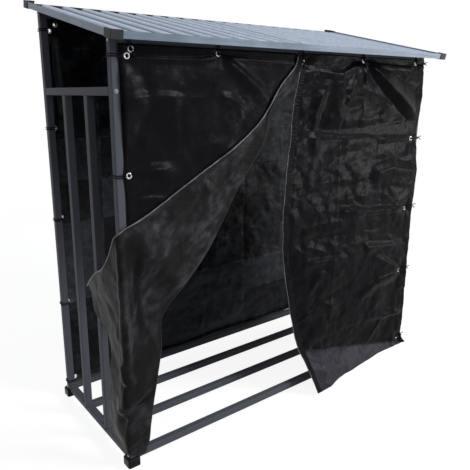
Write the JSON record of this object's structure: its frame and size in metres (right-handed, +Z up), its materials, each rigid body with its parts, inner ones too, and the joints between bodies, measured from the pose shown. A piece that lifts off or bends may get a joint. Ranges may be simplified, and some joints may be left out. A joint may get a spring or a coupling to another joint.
{
  "type": "log store",
  "caption": "Lean-to log store: bolted square-tube frame on plastic feet, corrugated metal roof with angle trims, slatted ends and dark tarpaulin curtains tied to the posts.",
  "frame": {"origin": "on the ground, below the middle of the roof's plan", "axes": "+X along the front to the right seen from the front, +Y towards the taller back, +Z up"},
  "size_m": [1.5726, 0.6711, 1.531],
  "materials": {
    "frame_steel": "satin black powder coat",
    "galvanised_sheet": "bright galvanised, lightly spangled",
    "trim_steel": "satin grey-blue",
    "corner_plastic": "moulded dark grey",
    "foot_plastic": "moulded black",
    "tarpaulin": "glossy coated woven polyethylene, creased"
  },
  "bodies": {
    "root": {"back_foot_left": "foot_plastic", "back_foot_right": "foot_plastic", "back_post_left": "frame_steel", "back_post_right": "frame_steel", "back_tarp": "tarpaulin", "back_trim_left": "trim_steel", "back_trim_right": "trim_steel", "base_rail_back_left": "frame_steel", "base_rail_back_right": "frame_steel", "base_rail_front_left": "frame_steel", "base_rail_front_right": "frame_steel", "base_rail_middle_1_left": "frame_steel", "base_rail_middle_1_right": "frame_steel", "base_rail_middle_2_left": "frame_steel", "base_rail_middle_2_right": "frame_steel", "base_side_rail_left": "frame_steel", "base_side_rail_right": "frame_steel", "cross_rail_left": "frame_steel", "cross_rail_right": "frame_steel", "end_bar_left_1": "frame_steel", "end_bar_left_2": "frame_steel", "end_bar_right_1": "frame_steel", "end_bar_right_2": "frame_steel", "front_curtain_left": "tarpaulin", "front_curtain_right": "tarpaulin", "front_foot_left": "foot_plastic", "front_foot_right": "foot_plastic", "front_post_left": "frame_steel", "front_post_right": "frame_steel", "front_trim_left": "trim_steel", "front_trim_right": "trim_steel", "roof_corner_back_left": "corner_plastic", "roof_corner_back_right": "corner_plastic", "roof_corner_front_left": "corner_plastic", "roof_corner_front_right": "corner_plastic", "roof_sheet_left": "galvanised_sheet", "roof_sheet_right": "galvanised_sheet", "side_trim_left_back": "trim_steel", "side_trim_left_front": "trim_steel", "side_trim_right_back": "trim_steel", "side_trim_right_front": "trim_steel", "top_rail_back_left": "frame_steel", "top_rail_back_right": "frame_steel", "top_rail_front_left": "frame_steel", "top_rail_front_right": "frame_steel"}
  },
  "joints": []
}
